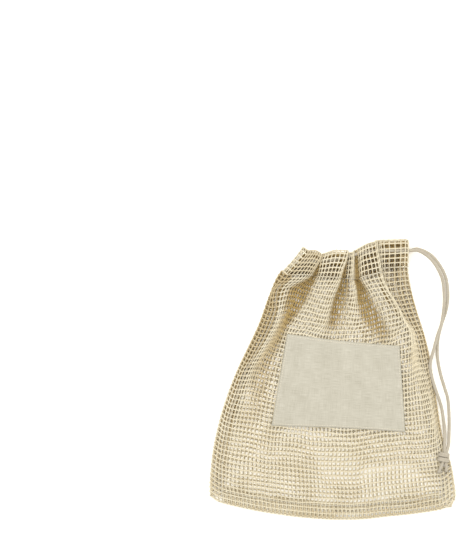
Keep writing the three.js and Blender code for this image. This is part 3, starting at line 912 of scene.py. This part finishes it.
lu, lv = np.meshgrid(*(np.linspace(0, 1, n + 1) for n in LABEL_STEPS), indexing="ij")
label_xy = label_plan(lu, lv)
label_z = blurred(front_height(label_xy[..., 0], label_xy[..., 1]), 14) + LABEL_LIFT
label_z += smooth_noise(label_z.shape, 9, 0.22 * MM) + smooth_noise(label_z.shape, 3, 0.05 * MM)
rim_distance = np.minimum(*(np.minimum(w, 1 - w) * flat for w, flat in zip((lu, lv), LABEL_FLAT)))
hem_swell = 0.25 * MM * ramp(rim_distance, 0, 0.8 * MM) * (1 - ramp(rim_distance, 4.5 * MM, 6 * MM))
edge_drop = 0.3 * MM * (1 - ramp(rim_distance, 0, 1.5 * MM))
label_top = np.dstack([label_xy, label_z + hem_swell - edge_drop])
label_low = np.dstack([label_xy, label_z - LABEL_THICKNESS])
count = label_z.size
index = np.arange(count).reshape(label_z.shape)
quads = np.stack([index[:-1, :-1], index[1:, :-1], index[1:, 1:], index[:-1, 1:]], -1).reshape(-1, 4)
rim = np.concatenate([index[:-1, 0], index[-1, :-1], index[:0:-1, -1], index[0, :0:-1]])
walls = np.stack([rim + count, np.roll(rim, -1) + count, np.roll(rim, -1), rim], -1)
label_faces = quads.tolist() + (quads[:, ::-1] + count).tolist() + walls.tolist()
label_uv = np.stack([lu * LABEL_FLAT[0], lv * LABEL_FLAT[1]], -1).reshape(-1, 2) / MM
label = make_object(
    "label_patch_muslin", np.concatenate([label_top.reshape(-1, 3), label_low.reshape(-1, 3)]),
    label_faces, MUSLIN, np.concatenate([label_uv, label_uv]),
)
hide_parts("label_patch")

# ---- Stitching: short arched stitches along a line on the cloth ----------------------------------
STITCH_ARCH = np.array([-0.55, 0.1, 0.3, 0.1, -0.55]) * MM     # each dives in at both its ends
STITCH_REACH = 0.86            # how much of its pitch a stitch covers
STITCHES_LIFT = 0.75 * MM      # over the middle of the net


def stitches(name, line, node):
    """Stitches along line (m, 3), which lies on the cloth."""
    along = distances(line)
    n = max(int(along[-1] / STITCH), 1)
    in_stitch = np.linspace(-0.5, 0.5, len(STITCH_ARCH)) * STITCH_REACH
    paths = resampled(line, along, (np.arange(n)[:, None] + 0.5 + in_stitch[None, :]) * STITCH)
    paths[..., 2] += STITCH_ARCH[None, :]
    vertices, faces, uv = tubes(paths, upright(paths), THREAD, THREAD, 6)
    piece = make_object(name, vertices, faces, THREAD_COTTON, uv)
    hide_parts(node)
    return piece


def label_line(u, v):
    """Points on the label's upper face."""
    plan = label_plan(u, v)
    i = u * LABEL_STEPS[0]
    j = v * LABEL_STEPS[1]
    i0 = np.clip(i.astype(int), 0, LABEL_STEPS[0] - 1)
    j0 = np.clip(j.astype(int), 0, LABEL_STEPS[1] - 1)
    fi, fj = i - i0, j - j0
    z = label_top[..., 2]
    height = ((z[i0, j0] * (1 - fi) + z[i0 + 1, j0] * fi) * (1 - fj)
              + (z[i0, j0 + 1] * (1 - fi) + z[i0 + 1, j0 + 1] * fi) * fj)
    return np.column_stack([plan, height])


t = np.linspace(0, 1, 120)
in_u, in_v = (LABEL_HEM / flat for flat in LABEL_FLAT)
across, upward = in_u + t * (1 - 2 * in_u), in_v + t * (1 - 2 * in_v)
seam_row = int(round(2.5 * STEPS))
top_lift = np.array([0, 0, STITCHES_LIFT])
casing_start = FOLD_EDGE * STEPS
thread_pieces = [
    stitches(f"label_stitches_{edge}", label_line(u, v), f"label_stitching_{edge}")
    for edge, u, v in (("bottom", across, 0 * t + in_v), ("top", across, 0 * t + 1 - in_v),
                       ("left", 0 * t + in_u, upward), ("right", 0 * t + 1 - in_u, upward))
]
thread_pieces += [
    stitches(f"{seam}_stitches", line, f"{seam}_stitching")
    for seam, line in (
        ("left_seam", front[seam_row, 4:-8] + top_lift),
        ("right_seam", front[-1 - seam_row, 4:-8] + top_lift),
        ("bottom_seam", front[8:-8, seam_row] + top_lift),
        ("front_casing", front[casing_start + 2:-2, -1] + top_lift),
        ("back_casing", back[casing_start + 6:-6, -1] + np.array([0, 0, 0.6 * MM])),
    )
]

# ---- Drawcord ----------------------------------------------------------------------------------
EXIT_X, EXIT_Y = 0.0734, 0.1276
IN_TUNNEL = EXIT_X - 0.020      # where the free strands begin, inside the tunnel
FRONT_ROUTE = [
    (0.0852, 0.1272, 0.0140), (0.0982, 0.1181, 0.0090), (0.1083, 0.1020, 0.0036),
    (0.1110, 0.0860, 0.0026), (0.1105, 0.0715, 0.0045), (0.1082, 0.0556, 0.0053),
    (0.1042, 0.0436, 0.0052), (0.0999, 0.0280, 0.0056), (0.0966, 0.0152, 0.0060),
    (0.0980, 0.0026, 0.0060), (0.1019, -0.0104, 0.0060), (0.1060, -0.0214, 0.0044),
    (0.1092, -0.0330, 0.0024), (0.1113, -0.0524, 0.0034), (0.1108, -0.0660, 0.0072),
    (0.1106, -0.0745, 0.0088),
]
REAR_ROUTE = [
    (0.0860, 0.1294, 0.0017), (0.1002, 0.1216, 0.0016), (0.1116, 0.1042, 0.0016),
    (0.1148, 0.0860, 0.0016), (0.1134, 0.0700, 0.0016), (0.1088, 0.0552, 0.0016),
    (0.1054, 0.0420, 0.0016), (0.1042, 0.0280, 0.0016), (0.1052, 0.0160, 0.0016),
    (0.1078, 0.0036, 0.0016), (0.1117, -0.0094, 0.0016), (0.1150, -0.0214, 0.0016),
    (0.1162, -0.0420, 0.0016), (0.1158, -0.0560, 0.0026), (0.1148, -0.0660, 0.0056),
    (0.1118, -0.0745, 0.0084),
]


def cord_object(name, vertices, faces, uv, node):
    """A piece of the drawcord, which goes with the cord's own body."""
    piece = make_object(name, vertices, faces, CORD_COTTON, uv)
    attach(piece, "drawcord")
    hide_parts(node)
    return piece


def cord_tube(name, line, node, sides=14):
    """A soft cord, a little flattened, along the line (m, 3)."""
    wave = 1 + 0.02 * np.sin(np.arange(len(line)) * 0.9)[None, :]
    width, height = (CORD_DIAMETER * size * wave for size in (1.04, 0.94))
    return cord_object(name, *tubes(line[None], upright(line[None]), width, height, sides), node)


def strand_line(tunnel_z, route):
    leaving = [(x, EXIT_Y, tunnel_z) for x in (IN_TUNNEL, EXIT_X - 0.008, EXIT_X + 0.002)]
    return catmull([*leaving, *route], 246)


front_line = strand_line(TUNNEL_FRONT_Z, FRONT_ROUTE)
rear_line = strand_line(TUNNEL_BACK_Z, REAR_ROUTE)
strand_front = cord_tube("drawcord_front", front_line, "drawcord_strand_front")
strand_rear = cord_tube("drawcord_rear", rear_line, "drawcord_strand_rear")

# The held run: along the front casing, round the left side and back along the back casing.
middle = (front_low[0] + hem_line[0]) / 2
held = [(IN_TUNNEL, EXIT_Y, TUNNEL_FRONT_Z), (0.040, EXIT_Y, TUNNEL_FRONT_Z),
        (0.022, 0.1240, 0.0150), (0.004, 0.1195, 0.0145), (-0.016, 0.1175, 0.0150),
        (middle[0], middle[1], TUNNEL_FRONT_Z)]
for angle in np.linspace(0, math.pi, 7)[1:-1]:
    p = middle + outward * (turn_radius * 0.45 * math.sin(angle))
    held.append((p[0], p[1], turn_z + turn_radius * math.cos(angle)))
held += [(x, y, TUNNEL_BACK_Z) for x, y in (
    (middle[0], middle[1]), (-0.010, 0.1185), (0.020, 0.1215), (0.040, 0.1260), (IN_TUNNEL, EXIT_Y))]
cord_tube("drawcord_held", catmull(held, 200), "drawcord_held_run", sides=10)

# The knot: both strands wound round themselves, with two short cut tails.
KNOT = np.array([0.1094, -0.0782, 0.0090])
KNOT_TURNS = 1.75
WRAPS = ((-2.9, 4.1), (2.0, 4.3))     # mm, each wrap's place along the knot and its radius
WRAP_LENGTH = 2.9                     # mm, how far a wrap goes along the knot
axis = unit(np.array([-0.12, -1.0, 0.02]))
knot_side = unit(np.cross(axis, [0, 0, 1.0]))
knot_up = np.cross(knot_side, axis)
turns = np.linspace(0, 1, 60)
wind = 2 * math.pi * KNOT_TURNS * turns + 0.6
knot_parts = []
for offset, radius in WRAPS:
    centre = KNOT + axis[None, :] * ((offset + WRAP_LENGTH * (turns - 0.5)) * MM)[:, None]
    wrap = centre + radius * MM * (np.cos(wind)[:, None] * knot_side * 1.12
                                   + np.sin(wind)[:, None] * knot_up * 0.8)
    tucked = [end * 0.4 + KNOT * 0.6 for end in (wrap[:1], wrap[-1:])]
    smooth_wrap = catmull(np.concatenate([tucked[0], wrap, tucked[1]]), 90)
    facing = unit(smooth_wrap - KNOT)[None]
    knot_parts.append(
        tubes(smooth_wrap[None], facing, CORD_DIAMETER * 0.95, CORD_DIAMETER * 0.82, 12))
knot = cord_object("drawcord_knot_wound", *joined(knot_parts), "drawcord_knot")

TAILS = (
    ("drawcord_tail_left", "drawcord_tail_front",
     [(0.1098, -0.0800, 0.0090), (0.1078, -0.0850, 0.0098), (0.1062, -0.0892, 0.0094),
      (0.1050, -0.0925, 0.0084)]),
    ("drawcord_tail_right", "drawcord_tail_rear",
     [(0.1110, -0.0800, 0.0086), (0.1120, -0.0850, 0.0088), (0.1124, -0.0885, 0.0082),
      (0.1121, -0.0916, 0.0074)]),
)
FIBRES = 26                  # frayed fibres at each cut end
FIBRE = 0.28 * MM


def frayed_end(line):
    """Short fibres that stand out of the line's cut end."""
    way = unit(line[-1] - line[-2])
    fibres = []
    for _ in range(FIBRES):
        around = rng.uniform(0, 2 * math.pi)
        out = np.sqrt(rng.uniform(0, 1)) * CORD_DIAMETER * 0.42
        spread = out * np.array([math.cos(around), 0.0, math.sin(around)])
        tip = line[-1] + spread * 1.5 + way * rng.uniform(0.8, 2.0) * MM
        fibres.append(np.linspace(line[-1] + spread - way * 0.5 * MM, tip, 4))
    fibres = np.array(fibres)
    return tubes(fibres, upright(fibres), FIBRE, FIBRE, 4)


for name, node, route in TAILS:
    line = catmull(route, 16)
    flare = 1 + 0.12 * ramp(np.arange(len(line)) / len(line), 0.7, 1.0)[None, :]
    width, height = (CORD_DIAMETER * size * flare for size in (1.02, 0.92))
    cut_tail = tubes(line[None], upright(line[None]), width, height, 12)
    cord_object(name, *joined([cut_tail, frayed_end(line)]), node)

# ---- The soft pieces' placements, applied to their meshes ----------------------------------------


for piece in [s[0] for s in sheets] + [label] + thread_pieces:
    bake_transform(piece)
